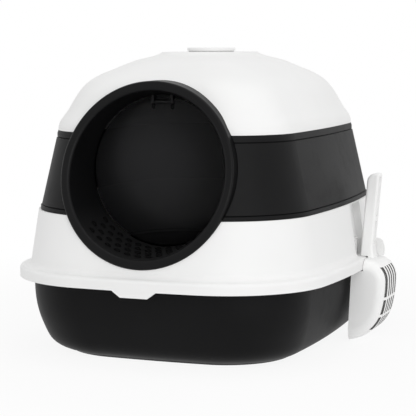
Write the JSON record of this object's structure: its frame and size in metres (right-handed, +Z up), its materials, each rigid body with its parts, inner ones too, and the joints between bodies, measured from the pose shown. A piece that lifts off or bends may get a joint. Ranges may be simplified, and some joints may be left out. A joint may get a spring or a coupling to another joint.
{
  "type": "covered litter box",
  "caption": "Covered litter box: deep pan, stacked rounded hood, slanted round entry with a see-through swing flap, deodoriser under a roof cap, and a slotted scoop hung on the side.",
  "frame": {"origin": "middle of the pan's underside, on the floor", "axes": "+Z up, the entry faces -Y, the scoop hangs on the +X side"},
  "size_m": [0.4513, 0.5338, 0.3845],
  "materials": {
    "black_shell": "satin, faintly grained",
    "white_shell": "soft gloss",
    "band_shell": "satin",
    "ring_shell": "satin with a rough tread on the tunnel floor",
    "smoked_flap": "clear smoked",
    "pin_steel": "drawn wire",
    "cap_white": "soft gloss",
    "cup_white": "matte",
    "charcoal": "felted fibre",
    "scoop_white": "soft gloss",
    "holder_white": "satin"
  },
  "bodies": {
    "pan": {"base_pan": "black_shell"},
    "hood": {"lower_hood": "white_shell", "middle_band": "band_shell", "top_dome": "white_shell", "entry_ring": "ring_shell", "flap_hinge_pin": "pin_steel", "deodoriser_cup": "cup_white", "charcoal_pad": "charcoal", "scoop_holder": "holder_white"},
    "flap": {"flap_door": "smoked_flap"},
    "cap": {"top_cap": "cap_white"},
    "scoop": {"litter_scoop": "scoop_white"}
  },
  "joints": [
    {"name": "hood_lift", "type": "slide", "parent": "pan", "child": "hood", "axis": [0, 0, 1], "range_m": [0, 0.15]},
    {"name": "flap_swing", "type": "hinge", "parent": "hood", "child": "flap", "pos_m": [0, -0.17, 0.319], "axis": [1, 0, 0], "range_deg": [-20, 80]},
    {"name": "cap_lift", "type": "slide", "parent": "hood", "child": "cap", "axis": [0, 0, 1], "range_m": [0, 0.06]},
    {"name": "scoop_pull", "type": "slide", "parent": "hood", "child": "scoop", "axis": [1, 0, 0], "range_m": [0, 0.08]}
  ]
}
